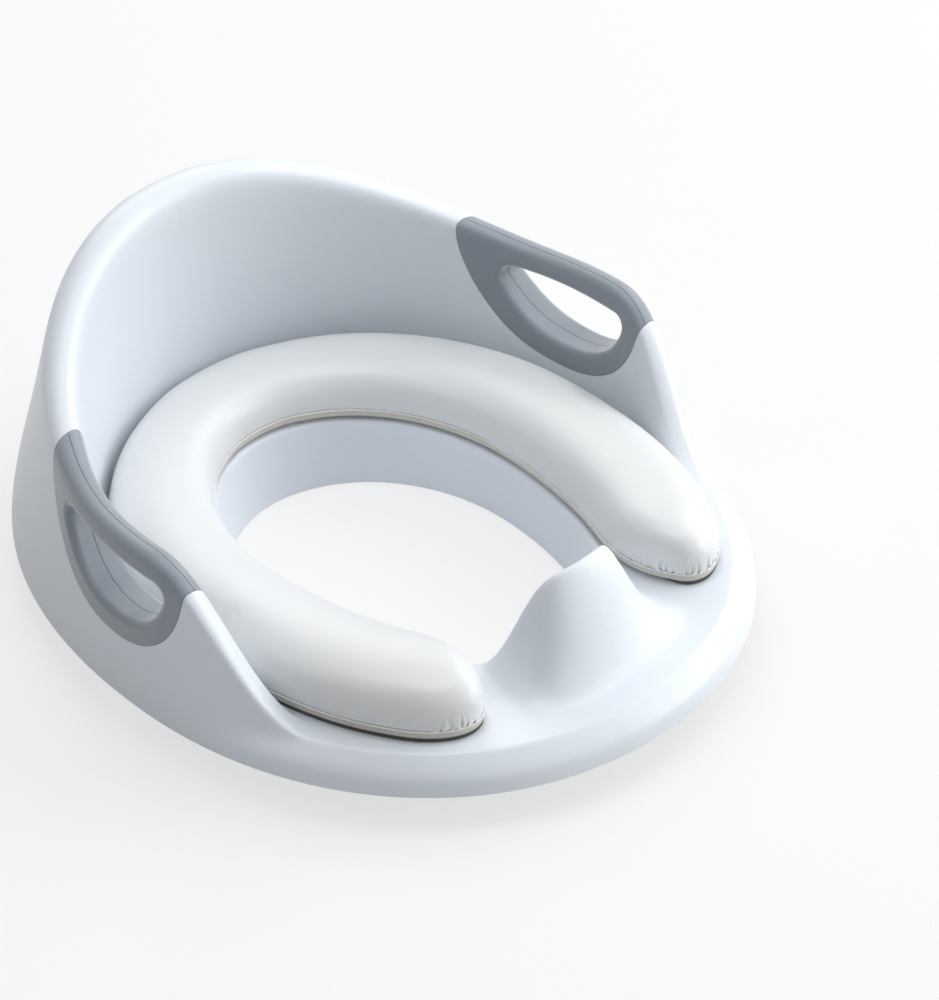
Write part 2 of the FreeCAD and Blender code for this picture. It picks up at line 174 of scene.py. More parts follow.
class Finish(NodeTree):
    """A material and its Principled shader."""

    def __init__(self, name, **constants):
        self.material = bpy.data.materials.new(name)
        super().__init__(self.material)
        self.surface = self.nodes["Principled BSDF"]
        self.paint(**constants)

    def noise(self, scale, detail=2.0):
        """A cloudy pattern from 0 to 1 that keeps its place on the piece."""
        place = self.node("ShaderNodeTexCoord", {}, {}, "Object")
        return self.node("ShaderNodeTexNoise", {},
                         {"Vector": place, "Scale": scale, "Detail": detail}, "Fac")

    def blend(self, share, first, second):
        """A colour between two others."""
        return self.node("ShaderNodeMix", {"data_type": "RGBA"},
                         {"Factor": share, MIX_COLOUR_FIRST: first, MIX_COLOUR_SECOND: second},
                         MIX_COLOUR_RESULT)

    def bump(self, height, distance, strength, under=None):
        """Tilts the light as a surface of this height would, on top of another bump if given."""
        inputs = {"Height": height, "Distance": distance, "Strength": strength}
        if under:
            inputs["Normal"] = under
        return self.node("ShaderNodeBump", {}, inputs, "Normal")

    def paint(self, **inputs):
        """Feeds the shader's sockets and hands over the material."""
        for name, source in inputs.items():
            self.feed(self.surface.inputs[name.replace("_", " ")], source)
        return self.material


def dress(piece, material):
    piece.data.materials.clear()
    piece.data.materials.append(material)


print("finishes ready: noise, blend, bump and paint")

# %% [markdown]
# The shell is injection moulded in a cool white plastic with a satin gloss. One plain white would
# make it look drawn, because moulded plastic is never perfectly even: the gloss drifts a little
# over a hand's width, and the surface carries a very fine grain that softens the reflections. So
# a broad noise mixes two near whites and varies the roughness, and a very fine one feeds a bump.

# %% Shell plastic
SHELL_COLOUR = (0.765, 0.815, 0.875, 1.0)
SHELL_COLOUR_SHADE = (0.74, 0.79, 0.85, 1.0)


def shell_plastic():
    finish = Finish("shell_plastic", IOR=1.49)
    drift = finish.noise(9.0, detail=3.0)
    grain = finish.noise(2600.0, detail=1.0)
    colour = finish.blend(drift, SHELL_COLOUR, SHELL_COLOUR_SHADE)
    normal = finish.bump(grain, 0.00002, 0.35)
    return finish.paint(Base_Color=colour, Roughness=0.30 + 0.08 * drift, Normal=normal)


dress(nodes["seat_shell"], shell_plastic())
print("shell plastic on seat_shell")

# %% [markdown]
# The grips are a bluish grey plastic with a matte spark-eroded grain, which spreads the light and
# pales the surface where it turns away. Roughness alone would make it flat and dark, so the grain
# is a bump, and a strong sheen adds the pale veil.

# %% Grip plastic
GRIP_COLOUR = (0.228, 0.260, 0.305, 1.0)
GRIP_COLOUR_LIGHT = (0.250, 0.285, 0.330, 1.0)


def grip_plastic():
    finish = Finish("grip_plastic", IOR=1.5, Sheen_Weight=0.9, Sheen_Roughness=0.45)
    drift = finish.noise(14.0, detail=3.0)
    grain = finish.noise(1900.0, detail=2.0)
    colour = finish.blend(drift, GRIP_COLOUR, GRIP_COLOUR_LIGHT)
    normal = finish.bump(grain, 0.00004, 0.5)
    return finish.paint(Base_Color=colour, Roughness=0.38 + 0.08 * drift, Normal=normal)


grip = grip_plastic()
for name in ("handle_right_inner", "handle_right_outer", "handle_left_inner", "handle_left_outer"):
    dress(nodes[name], grip)
print("grip plastic on four handle halves")

# %% [markdown]
# The base plate under the cushion is an off-white plastic, and the strips under the flange are a
# soft grey rubber. Both are hardly seen, so one noise varies the colour and the roughness of
# each, and only the rubber gets a bump, for its fine skin.

# %% Base plate and strips
PLATE_COLOUR = (0.62, 0.60, 0.54, 1.0)
PLATE_COLOUR_LIGHT = (0.66, 0.64, 0.58, 1.0)
RUBBER_COLOUR = (0.16, 0.18, 0.20, 1.0)
RUBBER_COLOUR_DUSTY = (0.21, 0.23, 0.25, 1.0)


def plate_plastic():
    finish = Finish("plate_plastic", IOR=1.49)
    drift = finish.noise(20.0)
    colour = finish.blend(drift, PLATE_COLOUR, PLATE_COLOUR_LIGHT)
    return finish.paint(Base_Color=colour, Roughness=0.45 + 0.1 * drift)


def strip_rubber():
    finish = Finish("strip_rubber", IOR=1.52)
    dust = finish.noise(120.0, detail=4.0)
    colour = finish.blend(dust, RUBBER_COLOUR, RUBBER_COLOUR_DUSTY)
    normal = finish.bump(finish.noise(1500.0), 0.00005, 0.5)
    return finish.paint(Base_Color=colour, Roughness=0.7 + 0.12 * dust, Normal=normal)


dress(nodes["cushion_base_plate"], plate_plastic())
rubber = strip_rubber()
for name in ("grip_strip_front", "grip_strip_back", "grip_strip_right", "grip_strip_left"):
    dress(nodes[name], rubber)
print("base plate and strips dressed")

# %% [markdown]
# In Blender an operator works on what is selected and active, as when modelling by hand. The same
# few moves come back for every piece, so they are helpers: picking one piece, taking a loose copy
# of a construction solid, cutting a piece level, and adding and applying a modifier. Only copies
# are shaped, and the solids themselves stay as they are.

# %% Helpers for modelling
MERGE_DISTANCE = 0.00002


def pick(piece):
    """Makes one piece the only selected and active one."""
    bpy.ops.object.select_all(action="DESELECT")
    piece.select_set(True)
    bpy.context.view_layer.objects.active = piece


def copy_of(node_name, piece_name):
    """A loose copy of a frame node, with its triangles merged."""
    piece = nodes[node_name].copy()
    piece.data = piece.data.copy()
    piece.name = piece_name
    piece.parent = None
    for key in [key for key in piece.keys() if key.startswith("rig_")]:
        del piece[key]
    bpy.context.scene.collection.objects.link(piece)
    pick(piece)
    bpy.ops.object.mode_set(mode="EDIT")
    bpy.ops.mesh.select_all(action="SELECT")
    bpy.ops.mesh.remove_doubles(threshold=MERGE_DISTANCE)
    bpy.ops.object.mode_set(mode="OBJECT")
    return piece


def cut_level(piece, height, clear_below=False, clear_above=False, fill=True):
    """Cuts a piece at a height and clears what is below or above the cut."""
    pick(piece)
    bpy.ops.object.mode_set(mode="EDIT")
    bpy.ops.mesh.select_all(action="SELECT")
    bpy.ops.mesh.bisect(plane_co=(0, 0, height), plane_no=(0, 0, 1), use_fill=fill,
                        clear_inner=clear_below, clear_outer=clear_above)
    bpy.ops.object.mode_set(mode="OBJECT")


def apply(piece, kind, **settings):
    """Adds one modifier with its settings and applies it."""
    pick(piece)
    bpy.ops.object.modifier_add(type=kind)
    modifier = piece.modifiers[-1]
    for setting, choice in settings.items():
        setattr(modifier, setting, choice)
    bpy.ops.object.modifier_apply(modifier=modifier.name)


pad_low, pad_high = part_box("cushion_pad")
print("cushion solid from", round(pad_low.z, 4), "to", round(pad_high.z, 4), "m above the floor")

# %% [markdown]
# The cushion is a horseshoe of foam under a soft white polyurethane skin, which is sewn to a thin
# wrapped board. All that lies on its edge follows one line, the seam. That line could be drawn by
# hand, but the construction solid already has it: a copy is cut level where it is widest, and the
# cut becomes a line of evenly spaced points. Each point also gets its direction outwards, and a
# search tree finds the point that is nearest to any place on the skin.

# %% Seam outline
WIDEST_HEIGHT = 0.0075
SEAM_HEIGHT = 0.0040
OUTLINE_STEP = 0.0005
# The outward direction is square to the line from six points before to six points after.
OUTWARD_STEPS = 6

seam_level = pad_low.z + SEAM_HEIGHT


def even_points(corners, step):
    """Points at even distances along a closed line."""
    lengths = [(b - a).length for a, b in zip(corners, corners[1:] + corners[:1])]
    count = int(sum(lengths) / step)
    gap = sum(lengths) / count
    points, done, side = [], 0.0, 0
    for k in range(count):
        while done + lengths[side] < k * gap:
            done += lengths[side]
            side += 1
        share = (k * gap - done) / lengths[side]
        points.append(corners[side].lerp(corners[(side + 1) % len(corners)], share))
    return points


def outline_at(height):
    """The cushion's closed outline at a height, anticlockwise from above."""
    line = copy_of("cushion_pad", "outline_guide")
    cut_level(line, height, clear_below=True, clear_above=True, fill=False)
    bpy.ops.object.convert(target="CURVE")
    guide = bpy.context.object
    corners = [Vector(point.co[:2]) for point in guide.data.splines[0].points]
    bpy.data.objects.remove(guide)
    turn = sum(a.cross(b) for a, b in zip(corners, corners[1:] + corners[:1]))
    return even_points(corners if turn > 0 else corners[::-1], OUTLINE_STEP)


seam = outline_at(pad_low.z + WIDEST_HEIGHT)
outward = []
for k in range(len(seam)):
    along = seam[(k + OUTWARD_STEPS) % len(seam)] - seam[k - OUTWARD_STEPS]
    outward.append(Vector((along.y, -along.x)).normalized())
nearest_on_seam = KDTree(len(seam))
for k, point in enumerate(seam):
    nearest_on_seam.insert((point.x, point.y, 0.0), k)
nearest_on_seam.balance()
print("seam:", len(seam), "points,", round(len(seam) * OUTLINE_STEP, 3), "m long")

# %% [markdown]
# A solid swept along a ring looks like hard plastic, while the real skin goes straight down at
# the sides to a seam about 4 mm above the cushion's bottom. So the blank is the construction
# solid cut where it is widest. Its cut edge is drawn down to below the seam, and what is above
# it follows less and less. Cloth needs even faces, which the remesh gives.

# %% Cushion blank
CLOTH_GRAIN = 0.0026
FOOT_HEIGHT = 0.0006
DRAW_DOWN_FALLOFF = 1.3


def draw_down(piece):
    """Lowers the cut edge to below the seam, and what is above it less and less."""
    drop = WIDEST_HEIGHT - FOOT_HEIGHT
    span = pad_high.z - pad_low.z - WIDEST_HEIGHT
    for vertex in piece.data.vertices:
        up = (vertex.co.z - pad_low.z - WIDEST_HEIGHT) / span
        vertex.co.z -= drop * max(1 - up, 0.0) ** DRAW_DOWN_FALLOFF


cushion = copy_of("cushion_pad", "cushion")
cut_level(cushion, pad_low.z + WIDEST_HEIGHT, clear_below=True)
draw_down(cushion)
apply(cushion, "REMESH", mode="VOXEL", voxel_size=CLOTH_GRAIN, use_smooth_shade=True)
apply(cushion, "SMOOTH", factor=0.5, iterations=6)
print("cushion blank:", len(cushion.data.vertices), "points")

# %% [markdown]
# Foam presses its skin out unevenly. The bulges could be sculpted, but a cloth pass finds them by
# itself: the blank becomes cloth with pressure inside, held where it is sewn and without gravity.
# Only a few frames are run, and no point may move further than a small limit, so that the cushion
# keeps its size.

# %% Stuff the cushion
PRESSURE = 4.0
CLOTH_FRAMES = 20
SWELL_LIMIT = 0.0035


def stuff(piece, held_below):
    """Blows a closed skin up as cloth, held at its sewn edge, and caps how far a point moves."""
    held = piece.vertex_groups.new(name="sewn")
    held.add([v.index for v in piece.data.vertices if v.co.z < held_below], 1.0, "REPLACE")
    start = [v.co.copy() for v in piece.data.vertices]
    pick(piece)
    bpy.ops.object.modifier_add(type="CLOTH")
    cloth = piece.modifiers[-1]
    cloth.settings.quality = 6
    cloth.settings.mass = 0.2
    cloth.settings.tension_stiffness = 12.0
    cloth.settings.compression_stiffness = 12.0
    cloth.settings.shear_stiffness = 6.0
    cloth.settings.bending_stiffness = 0.4
    cloth.settings.vertex_group_mass = "sewn"
    cloth.settings.use_pressure = True
    cloth.settings.uniform_pressure_force = PRESSURE
    cloth.settings.effector_weights.gravity = 0.0
    cloth.collision_settings.use_collision = False
    cloth.point_cache.frame_start = 1
    cloth.point_cache.frame_end = CLOTH_FRAMES
    for frame_number in range(1, CLOTH_FRAMES + 1):
        bpy.context.scene.frame_set(frame_number)
    bpy.ops.object.modifier_apply(modifier=cloth.name)
    bpy.context.scene.frame_set(1)
    furthest = 0.0
    for vertex, before in zip(piece.data.vertices, start):
        move = vertex.co - before
        if move.length > SWELL_LIMIT:
            move = move.normalized() * SWELL_LIMIT
        vertex.co = before + move
        furthest = max(furthest, move.length)
    return furthest


print("swelled by up to", round(stuff(cushion, seam_level + CLOTH_GRAIN), 4), "m")
apply(cushion, "SUBSURF", levels=1, render_levels=1)
print("cushion:", len(cushion.data.vertices), "points")

# %% [markdown]
# The cushion's details are placed by where they lie on the seam: how far outwards from it, and
# how far along it from the nearer tip of the horseshoe. The tips could be given as coordinates,
# but measured on the outline they follow it. Each is the seam point of its side that reaches
# furthest to the front and inwards.

# %% Places on the seam
TIP_DIRECTION = Vector((-0.604, -0.797))


def towards_tip(k, side):
    """How far a seam point reaches in the tip's direction, mirrored for the left side."""
    return seam[k].x * side * TIP_DIRECTION.x + seam[k].y * TIP_DIRECTION.y


tips = {}
for side in (1.0, -1.0):
    own = [k for k, point in enumerate(seam) if point.x * side > 0]
    tips[side] = max(own, key=lambda k: towards_tip(k, side))


def seam_place(point):
    """The number of the nearest seam point, and the distance outwards from it."""
    k = nearest_on_seam.find((point.x, point.y, 0.0))[1]
    return k, (Vector(point[:2]) - seam[k]).dot(outward[k])


def from_tip(point, k):
    """How far seam point k lies along the seam from the tip on a point's own side."""
    tip = tips[1.0 if point.x > 0 else -1.0]
    steps = (k - tip + len(seam) // 2) % len(seam) - len(seam) // 2
    return steps * OUTLINE_STEP


print("tips at", [[round(value, 3) for value in seam[k]] for k in tips.values()])

# %% [markdown]
# On the real cushion the skin ends crisply at the seam, but the remesh left its foot rounded.
# Pulled out in one go, its faces would fold over each other. So what lies just above the seam is
# laid onto the line, less and less further up, and what reaches below it is tucked in behind the
# board, out of sight.

# %% Foot of the skin
EDGE_HEIGHT = 0.0026
EDGE_REACH = 0.0036
EDGE_PAST_SEAM = 0.0008
EDGE_FADE = 0.6
TUCK_DROP = 0.0003
TUCKED_IN = 0.0012


def lay_on_seam(piece):
    """Moves the foot of the skin out to the seam, and what is below it in behind the board."""
    laid = 0
    for vertex in piece.data.vertices:
        above = vertex.co.z - seam_level
        if above > EDGE_HEIGHT:
            continue
        k, outside = seam_place(vertex.co)
        if above > -TUCK_DROP and -EDGE_REACH < outside < EDGE_PAST_SEAM:
            share = min(max((EDGE_HEIGHT - above) / (EDGE_FADE * EDGE_HEIGHT), 0.0), 1.0)
            move = -outside * share
        elif above <= -TUCK_DROP and outside > -TUCKED_IN:
            move = -TUCKED_IN - outside
        else:
            continue
        vertex.co += Vector((outward[k].x, outward[k].y, 0.0)) * move
        laid += 1
    return laid


print("laid", lay_on_seam(cushion), "points on the seam or behind the board")

# %% [markdown]
# Round a tip a flat skin has too much edge, and sewing pushes the surplus into creases. They are
# modelled after the cloth pass, because remeshing would swallow them, and in the mesh itself,
# because a bump doesn't change an outline. Only the skin round the two tips is divided more
# finely. Between the creases it puffs out a little, and along each crease it is drawn in, deepest
# at the seam and fading upwards. Sine waves of unlike pace give each crease its own length, depth
# and lean, and the same ones in every run.

# %% Gathers at the tips
GATHER_REACH = 0.036
GATHER_BREADTH = 0.012
GATHER_LENGTH = 0.0085
GATHER_TOP = 1.15 * GATHER_LENGTH
GATHER_PITCH = 0.0041
GATHER_DEPTH = 0.0014
GATHER_PUFF = 0.0004
# Shares of the pitch: a crease's width, how far it strays from its place, and how far it leans.
GATHER_WIDTH = 0.15
GATHER_STRAY = 0.25
GATHER_LEAN = 0.16
# Powers by which a crease fades upwards and the gathers fade away from the tip.
FADE_UPWARDS = 1.2
FADE_SIDEWAYS = 0.35


def in_gathers(point):
    k, outside = seam_place(point)
    return (abs(from_tip(point, k)) < GATHER_REACH and abs(outside) < GATHER_BREADTH
            and point.z < seam_level + GATHER_TOP)


def divide_gathers(piece):
    pick(piece)
    bpy.ops.object.mode_set(mode="EDIT")
    bpy.ops.mesh.select_mode(type="FACE")
    bpy.ops.mesh.select_all(action="DESELECT")
    skin = bmesh.from_edit_mesh(piece.data)
    for face in skin.faces:
        face.select_set(in_gathers(face.calc_center_median()))
    bmesh.update_edit_mesh(piece.data)
    bpy.ops.mesh.subdivide(number_cuts=2, smoothness=1.0)
    bpy.ops.object.mode_set(mode="OBJECT")


def gather(piece):
    """Draws the skin in along uneven creases over the seam, and puffs it out between them."""
    moved = 0
    for vertex in piece.data.vertices:
        if not in_gathers(vertex.co):
            continue
        k = seam_place(vertex.co)[0]
        distance = from_tip(vertex.co, k)
        above = max(vertex.co.z - seam_level, 0.0)
        along = distance / GATHER_PITCH + GATHER_STRAY * math.sin(1.9 * distance / GATHER_PITCH)
        crease = round(along)
        length = GATHER_LENGTH * (0.66 + 0.32 * math.sin(7.3 * crease + seam[k].x))
        depth = GATHER_DEPTH * (0.75 + 0.25 * math.sin(4.1 * crease))
        lean = GATHER_LEAN * above / GATHER_LENGTH * math.sin(2.3 * crease)
        off = along - crease + lean
        fade = max(1 - above / length, 0.0)
        edge = max(1 - abs(distance) / GATHER_REACH, 0.0) ** FADE_SIDEWAYS
        move = GATHER_PUFF * fade * math.sin(math.pi * off) ** 2
        move -= depth * math.exp(-(off / GATHER_WIDTH) ** 2) * fade ** FADE_UPWARDS
        vertex.co += Vector((outward[k].x, outward[k].y, 0.0)) * move * edge
        moved += 1
    return moved


divide_gathers(cushion)
print("gathered", gather(cushion), "points")
pick(cushion)
bpy.ops.object.shade_smooth()

# %% [markdown]
# Below the seam a skin wraps a thin board. It could be a copy of the solid's lower part, but the
# seam's outline is cleaner: it becomes a line, is closed with a face and raised to a slab, whose
# edges get a small bevel. The slab is drawn in by a hair, so that the seam stays a crisp line.

# %% Wrapped board
BOARD_INSET = 0.0003
BOARD_LIFT = 0.0001
BOARD_ROUND = 0.0003
SHARP_ANGLE = math.radians(50)
EDGE_STRIDE = 4


def seam_line(name, inset, level, places, closed=True):
    """A line through places on the seam, moved in and lowered, as a curve."""
    data = bpy.data.curves.new(name, "CURVE")
    data.dimensions = "3D"
    spline = data.splines.new("POLY")
    spline.points.add(len(places) - 1)
    for point, k in zip(spline.points, places):
        place = seam[k % len(seam)] - outward[k % len(seam)] * inset
        point.co = (place.x, place.y, level, 1.0)
    spline.use_cyclic_u = closed
    line = bpy.data.objects.new(name, data)
    bpy.context.scene.collection.objects.link(line)
    pick(line)
    return line


def raise_line(height, cap):
    """Extrudes the picked line upwards, after closing it with a face if it gets a cap."""
    bpy.ops.object.convert(target="MESH")
    piece = bpy.context.object
    bpy.ops.object.mode_set(mode="EDIT")
    bpy.ops.mesh.select_all(action="SELECT")
    if cap:
        bpy.ops.mesh.edge_face_add()
        bpy.ops.mesh.extrude_region_move(TRANSFORM_OT_translate={"value": (0, 0, height)})
    else:
        bpy.ops.mesh.extrude_edges_move(TRANSFORM_OT_translate={"value": (0, 0, height)})
    bpy.ops.mesh.select_all(action="SELECT")
    bpy.ops.mesh.normals_make_consistent(inside=False)
    bpy.ops.object.mode_set(mode="OBJECT")
    return piece


seam_line("cushion_board", BOARD_INSET, pad_low.z + BOARD_LIFT, range(0, len(seam), EDGE_STRIDE))
board = raise_line(SEAM_HEIGHT - BOARD_LIFT, cap=True)
apply(board, "BEVEL", width=BOARD_ROUND, segments=2, limit_method="ANGLE")
pick(board)
bpy.ops.object.shade_smooth_by_angle(angle=SHARP_ANGLE)
print("board:", len(board.data.vertices), "points")

# %% [markdown]
# Where the two layers of skin are sewn together, a fine welt runs along the seam. A circle swept
# by an operator would do, but a curve with a round bevel is the simplest tube that follows a
# line. It is turned into a mesh afterwards, as every finished piece is.

# %% Welt
WELT_RADIUS = 0.00038
WELT_PROUD = 0.0001
WELT_STRIDE = 2

welt = seam_line("cushion_welt", -WELT_PROUD, seam_level, range(0, len(seam), WELT_STRIDE))
welt.data.bevel_depth = WELT_RADIUS
welt.data.bevel_resolution = 2
bpy.ops.object.convert(target="MESH")
welt = bpy.context.object
pick(welt)
bpy.ops.object.shade_smooth()
print("welt:", len(welt.data.vertices), "points")

# %% [markdown]
# Under the board a thin dark rim runs round the outer edge and a little past the tips. It is
# painted shadow: a near-black strip put in the gap where the cushion stands off the deck, so that
# the gap shows as a dark line. A line on the seam's outline is raised to a strip, and a Solidify
# modifier gives it its thickness. Its ends curve inwards, because a strip that stops bluntly would
# catch the eye.

# %% Painted shadow rim
RIM_INSET = 0.0006
RIM_THICKNESS = 0.0012
RIM_CLEARANCE = 0.00025
RIM_PAST_TIP = 0.020
RIM_TURN_IN = 0.0045
deck_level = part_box("cushion_base_plate")[0].z

past_tip = int(RIM_PAST_TIP / OUTLINE_STEP)
rim_first = tips[1.0] - past_tip
rim_steps = (tips[-1.0] + past_tip - rim_first) % len(seam)
rim_places = range(rim_first, rim_first + rim_steps, EDGE_STRIDE)
# The rim is painted shadow: a dark strip standing in for the shadow gap under the cushion.
rim_line = seam_line("cushion_painted_shadow_rim", RIM_INSET, deck_level + RIM_CLEARANCE, rim_places,
                     closed=False)
for point, k in zip(rim_line.data.splines[0].points, rim_places):
    from_end = min(k - rim_first, rim_first + rim_steps - k) * OUTLINE_STEP
    turn_in = RIM_TURN_IN * max(1 - from_end / RIM_PAST_TIP, 0.0) ** 2
    point.co.x -= outward[k % len(seam)].x * turn_in
    point.co.y -= outward[k % len(seam)].y * turn_in
painted_shadow_rim = raise_line(pad_low.z - deck_level - RIM_CLEARANCE, cap=False)
apply(painted_shadow_rim, "SOLIDIFY", thickness=RIM_THICKNESS, offset=-1.0)
pick(painted_shadow_rim)
bpy.ops.object.shade_smooth_by_angle(angle=SHARP_ANGLE)
print("painted shadow rim:", len(painted_shadow_rim.data.vertices), "points")

# %% [markdown]
# Round the tips the thread shows: a row of slanting stitches, one to each pitch of the gathers.
# A stitch could be a picture on the skin, but it stands out and casts a shadow. So one is
# modelled from a ball that is drawn out to a spindle, and each copy, with a mesh of its own, is
# laid on the seam. In the end all are joined into one piece.

# %% Stitches
STITCH_LENGTH = 0.0028
STITCH_RADIUS = 0.00032
STITCH_LEAN = math.radians(42)
STITCH_RISE = 0.0007
STITCH_PROUD = 0.0003


def first_stitch():
    bpy.ops.object.select_all(action="DESELECT")
    bpy.ops.mesh.primitive_uv_sphere_add(segments=10, ring_count=8, radius=1.0)
    stitch = bpy.context.object
    bpy.ops.object.mode_set(mode="EDIT")
    bpy.ops.mesh.select_all(action="SELECT")
    bpy.ops.transform.resize(value=(STITCH_LENGTH / 2, STITCH_RADIUS, STITCH_RADIUS))
    bpy.ops.object.mode_set(mode="OBJECT")
    return stitch


def stitch_copy(stitch, k, number):
    """A copy laid on the seam at one of its points, leaning a little more or less."""
    out = Vector((outward[k].x, outward[k].y, 0.0))
    along = Vector((-out.y, out.x, 0.0))
    lean = STITCH_LEAN * (0.8 + 0.4 * math.sin(3.7 * number))
    run = along * math.cos(lean) + Vector((0, 0, 1)) * math.sin(lean)
    turn = Matrix((run, out.cross(run), out)).transposed().to_4x4()
    place = Vector((seam[k].x, seam[k].y, seam_level + STITCH_RISE)) + out * STITCH_PROUD
    copied = stitch.copy()
    copied.data = stitch.data.copy()
    copied.data.transform(Matrix.Translation(place) @ turn)
    bpy.context.scene.collection.objects.link(copied)
    return copied


def sew():
    """One stitch to each pitch of the gathers, joined into one piece."""
    stitch = first_stitch()
    sewn = []
    reach = int(GATHER_REACH / GATHER_PITCH) - 1
    for tip in tips.values():
        for number in range(-reach, reach + 1):
            steps = round(number * GATHER_PITCH / OUTLINE_STEP)
            sewn.append(stitch_copy(stitch, (tip + steps) % len(seam), number))
    print("stitches:", len(sewn))
    bpy.data.objects.remove(stitch)
    bpy.ops.object.select_all(action="DESELECT")
    for piece in sewn:
        piece.select_set(True)
    bpy.context.view_layer.objects.active = sewn[0]
    bpy.ops.object.join()
    joined = bpy.context.object
    joined.name = "cushion_stitches"
    bpy.ops.object.shade_smooth()
    return joined


stitches = sew()

# %% [markdown]
# The skin is polyurethane with a soft gloss. Two bumps lie on each other: a broad one for the
# waviness of something stuffed, and a fine one for the pores. The same finish is used on the board
# and the welt with other colours. The board's skin is warmer than the cushion's, and darker as
# painted shade for the shadow under the cushion's edge. The welt is paler as a painted highlight,
# for the bright line along the seam.

# %% Cushion skin
PAD_COLOUR = (0.750, 0.770, 0.785, 1.0)
PAD_COLOUR_WARM = (0.740, 0.752, 0.755, 1.0)
# The board's warm tone is its own; its darkness is painted shade for the shadow under the
# cushion's edge.
BOARD_COLOUR_WITH_PAINTED_SHADE = (0.60, 0.575, 0.52, 1.0)
BOARD_COLOUR_LIGHT_WITH_PAINTED_SHADE = (0.64, 0.615, 0.565, 1.0)
# The welt's pale colour is a painted highlight: the bright line along the seam.
WELT_PAINTED_HIGHLIGHT_COLOUR = (0.86, 0.86, 0.84, 1.0)
WELT_PAINTED_HIGHLIGHT_COLOUR_WARM = (0.82, 0.82, 0.79, 1.0)


def pad_skin(name, first, second):
    finish = Finish(name, IOR=1.47)
    drift = finish.noise(18.0, detail=3.0)
    pores = finish.noise(1500.0, detail=2.0)
    soft = finish.noise(55.0, detail=2.0)
    colour = finish.blend(drift, first, second)
    waviness = finish.bump(soft, 0.0012, 0.10)
    normal = finish.bump(pores, 0.00003, 0.4, under=waviness)
    return finish.paint(Base_Color=colour, Roughness=0.29 + 0.08 * drift, Normal=normal)


dress(cushion, pad_skin("cushion_skin", PAD_COLOUR, PAD_COLOUR_WARM))
dress(board, pad_skin("board_skin_with_painted_shade", BOARD_COLOUR_WITH_PAINTED_SHADE, BOARD_COLOUR_LIGHT_WITH_PAINTED_SHADE))
dress(welt, pad_skin("welt_skin_painted_highlight", WELT_PAINTED_HIGHLIGHT_COLOUR, WELT_PAINTED_HIGHLIGHT_COLOUR_WARM))
print("skin on cushion, board and welt")

# %% [markdown]
# Thread is twisted from fine fibres: a fine noise stands for the twist, and a sheen for the
# fibres that stand out. The rim's finish is painted shadow: near-black with a fine speckle, a
# strong bump and hardly any gloss. Twist and speckle are too small in the picture to be modelled.

# %% Thread and painted shadow
THREAD_COLOUR = (0.92, 0.92, 0.90, 1.0)
THREAD_COLOUR_SHADE = (0.88, 0.88, 0.86, 1.0)
# Painted shadow: near-black colours for the shade in the gap under the cushion's edge.
PAINTED_SHADOW_COLOUR = (0.085, 0.078, 0.070, 1.0)
PAINTED_SHADOW_COLOUR_LIGHT = (0.12, 0.11, 0.10, 1.0)


def thread():
    finish = Finish("thread", IOR=1.5, Sheen_Weight=0.8, Sheen_Roughness=0.3)
    twist = finish.noise(3200.0, detail=2.0)
    colour = finish.blend(twist, THREAD_COLOUR, THREAD_COLOUR_SHADE)
    normal = finish.bump(twist, 0.0001, 0.5)
    return finish.paint(Base_Color=colour, Roughness=0.3 + 0.1 * twist, Normal=normal)


# The painted shadow rim's finish: a dark speckled colour, a strong bump and hardly any gloss.
def painted_shadow_rim_finish():
    finish = Finish("painted_shadow_rim_finish", IOR=1.4)
    shadow_speckle = finish.noise(2200.0, detail=3.0)
    colour = finish.blend(shadow_speckle, PAINTED_SHADOW_COLOUR, PAINTED_SHADOW_COLOUR_LIGHT)
    normal = finish.bump(shadow_speckle, 0.0001, 0.6)
    return finish.paint(Base_Color=colour, Roughness=0.85 + 0.1 * shadow_speckle, Normal=normal)


dress(stitches, thread())
dress(painted_shadow_rim, painted_shadow_rim_finish())
print("thread on the stitches, painted shadow on the rim")

# %% [markdown]
# A new piece also has to be told to the frame. Each rides on the seat's one body, and the cushion
# is shown in place of the construction solid, which is hidden.

# %% Tell the frame
for piece in (cushion, board, welt, stitches):
    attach(piece, "root")
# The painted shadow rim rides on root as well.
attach(painted_shadow_rim, "root")
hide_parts("cushion_pad")
print("five new pieces ride on root")

# %% [markdown]
# The stage is a plain pale floor. The camera sees it almost white, with only a soft shadow where
# the seat stands, as on a product picture. A floor that is lit to white would throw much of that
# light back up at the seat, so a glow is mixed in for the camera's rays alone.

# %% Floor
FLOOR_SIZE = 12.0
FLOOR_LEVEL = -0.0005
FLOOR_COLOUR = (0.86, 0.86, 0.86, 1.0)
FLOOR_COLOUR_LIGHT = (0.88, 0.88, 0.88, 1.0)
GLOW_COLOUR = (1.0, 1.0, 1.0, 1.0)
GLOW_STRENGTH = 0.96
GLOW_SHARE = 0.72


def floor_paint():
    finish = Finish("floor_paint")
    cloud = finish.noise(1.5, detail=2.0)
    colour = finish.blend(cloud, FLOOR_COLOUR, FLOOR_COLOUR_LIGHT)
    finish.paint(Base_Color=colour, Roughness=0.9)
    lit = Value(finish, finish.surface.outputs["BSDF"])
    glow = finish.node("ShaderNodeEmission", {}, {"Color": GLOW_COLOUR, "Strength": GLOW_STRENGTH})
    share = finish.node("ShaderNodeLightPath", {}, {}, "Is Camera Ray") * GLOW_SHARE
    mixed = finish.node("ShaderNodeMixShader", {}, {"Fac": share, 1: lit, 2: glow})
    finish.feed(finish.nodes["Material Output"].inputs["Surface"], mixed)
    return finish.material


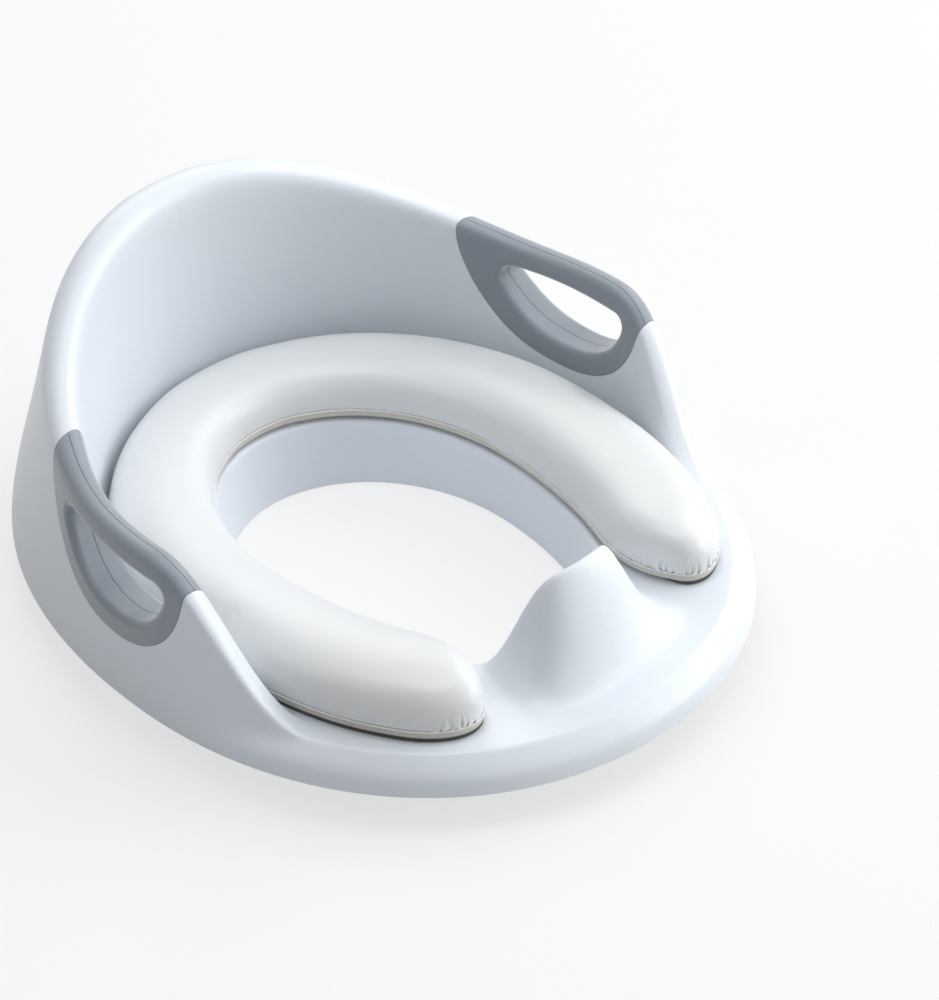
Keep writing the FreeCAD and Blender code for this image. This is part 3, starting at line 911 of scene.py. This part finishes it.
def stage_floor():
    bpy.ops.object.select_all(action="DESELECT")
    bpy.ops.mesh.primitive_plane_add(size=FLOOR_SIZE, location=(0, 0, FLOOR_LEVEL))
    floor = bpy.context.object
    floor.name = "floor"
    dress(floor, floor_paint())


stage_floor()
print("floor", FLOOR_SIZE, "m wide")

# %% [markdown]
# Glossy plastic shows what stands around it, and around a product in a studio all is white. A
# white world would also light the seat from all sides and flatten it. So the world is white for
# the camera and for reflections, and only a dim cool fill for all other light, and the shading is
# left to the lamps.

# %% World
FILL_COLOUR = (0.93, 0.96, 1.0, 1.0)
FILL_STRENGTH = 0.08
WHITE_COLOUR = (0.97, 0.985, 1.0, 1.0)
WHITE_STRENGTH = 1.0


def studio_world():
    world = bpy.data.worlds.new("studio")
    bpy.context.scene.world = world
    studio = NodeTree(world)
    background = studio.nodes["Background"]
    studio.feed(background.inputs["Color"], FILL_COLOUR)
    studio.feed(background.inputs["Strength"], FILL_STRENGTH)
    fill = Value(studio, background.outputs[0])
    white = studio.node("ShaderNodeBackground", {},
                        {"Color": WHITE_COLOUR, "Strength": WHITE_STRENGTH})
    seen = studio.node("ShaderNodeLightPath", {}, {}, "Is Camera Ray")
    mirrored = studio.node("ShaderNodeLightPath", {}, {}, "Is Glossy Ray")
    share = seen.math("MAXIMUM", mirrored)
    mixed = studio.node("ShaderNodeMixShader", {}, {"Fac": share, 1: fill, 2: white})
    studio.feed(studio.nodes["World Output"].inputs["Surface"], mixed)


studio_world()
print("world: white where it is seen or mirrored, a fill of", FILL_STRENGTH, "elsewhere")

# %% [markdown]
# In the photograph the light comes from the right, and the shadows are soft. One wide lamp there
# leaves the inside of the wall too dark. So the main lamp stands low at the front right with a
# higher one beside it, others stand at the right side, above, behind and at the left, and a weak
# one in front lifts the shadows. All are wide squares, since a wide lamp gives a soft shadow.

# %% Lamps
LAMP_DISTANCE = 2.4
LAMP_AIM = Vector((0.0, 0.0, 0.05))


def lamp(name, azimuth, elevation, size, power):
    """A square soft lamp that looks at the seat from a direction, in degrees from +X to +Y."""
    data = bpy.data.lights.new(name, "AREA")
    data.size = size
    data.energy = power
    light = bpy.data.objects.new(name, data)
    bpy.context.scene.collection.objects.link(light)
    turn = math.radians(azimuth)
    rise = math.radians(elevation)
    away = Vector((math.cos(turn) * math.cos(rise), math.sin(turn) * math.cos(rise),
                   math.sin(rise)))
    light.location = LAMP_AIM + away * LAMP_DISTANCE
    light.rotation_mode = "QUATERNION"
    light.rotation_quaternion = (-away).to_track_quat("-Z", "Y")


lamp("key", 318, 18, 1.4, 28.5)
lamp("key_high", 330, 48, 1.4, 11.0)
lamp("side", 0, 38, 1.3, 17.0)
lamp("over", 0, 89, 1.3, 17.0)
lamp("behind", 60, 40, 1.3, 13.0)
lamp("left", 155, 50, 1.3, 8.0)
lamp("front", 262, 32, 1.3, 4.0)
bpy.context.scene.view_settings.view_transform = "Standard"
print("lamps:", len(bpy.data.lights))
